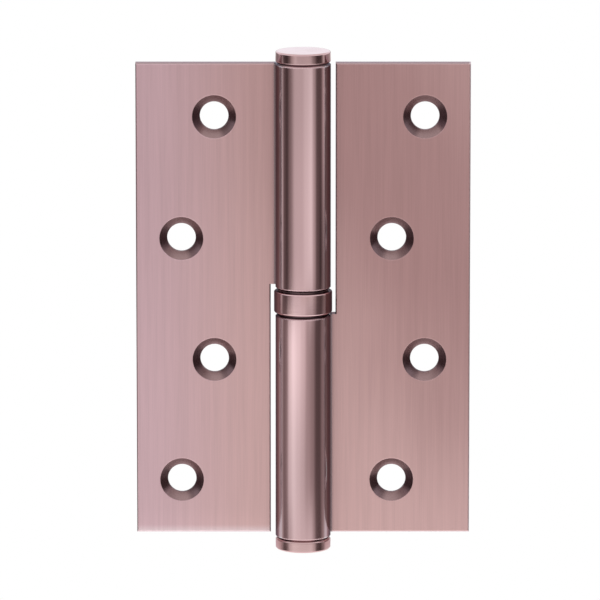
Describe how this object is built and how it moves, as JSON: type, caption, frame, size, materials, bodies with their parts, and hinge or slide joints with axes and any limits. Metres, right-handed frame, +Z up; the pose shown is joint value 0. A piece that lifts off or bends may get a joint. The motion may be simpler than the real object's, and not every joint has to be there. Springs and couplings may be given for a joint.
{
  "type": "mortise hinge",
  "caption": "Lift-off mortise hinge: flat countersunk leaves rolled into knuckles on a steel pin, with a ball thrust bearing between the knuckles and plain end caps.",
  "frame": {"origin": "on the pin's axis, at the middle of the hinge's height", "axes": "+Z up the pin, +X to the frame leaf, -Y out of the countersunk front faces"},
  "size_m": [0.07, 0.0122, 0.106],
  "materials": {
    "leaf_copper": "steel plated in antique copper, brushed along the height",
    "polished_copper": "steel plated in antique copper, polished",
    "pin_steel": "ground steel",
    "bearing_steel": "hardened and polished steel",
    "cage_nylon": "natural nylon"
  },
  "bodies": {
    "frame_side": {"frame_leaf": "leaf_copper", "hinge_pin": "pin_steel", "bottom_cap": "polished_copper", "lower_race": "bearing_steel"},
    "bearing_top": {"upper_race": "bearing_steel", "bearing_shell": "polished_copper"},
    "door_side": {"door_leaf": "leaf_copper", "top_cap": "polished_copper"},
    "ball_train": {"ball_cage": "cage_nylon", "bearing_ball_01": "bearing_steel", "bearing_ball_02": "bearing_steel", "bearing_ball_03": "bearing_steel", "bearing_ball_04": "bearing_steel", "bearing_ball_05": "bearing_steel"}
  },
  "joints": [
    {"name": "leaf_swing", "type": "hinge", "parent": "frame_side", "child": "bearing_top", "pos_m": [0, 0, 0], "axis": [0, 0, 1], "range_deg": [-110, 180]},
    {"name": "leaf_lift", "type": "slide", "parent": "bearing_top", "child": "door_side", "axis": [0, 0, 1], "range_m": [0, 0.035]},
    {"name": "cage_roll", "type": "hinge", "parent": "frame_side", "child": "ball_train", "pos_m": [0, 0, 0], "axis": [0, 0, 1], "range_deg": [-55, 90]}
  ],
  "couplings": [
    {"joint": "cage_roll", "follows": "leaf_swing", "ratio": 0.5}
  ]
}
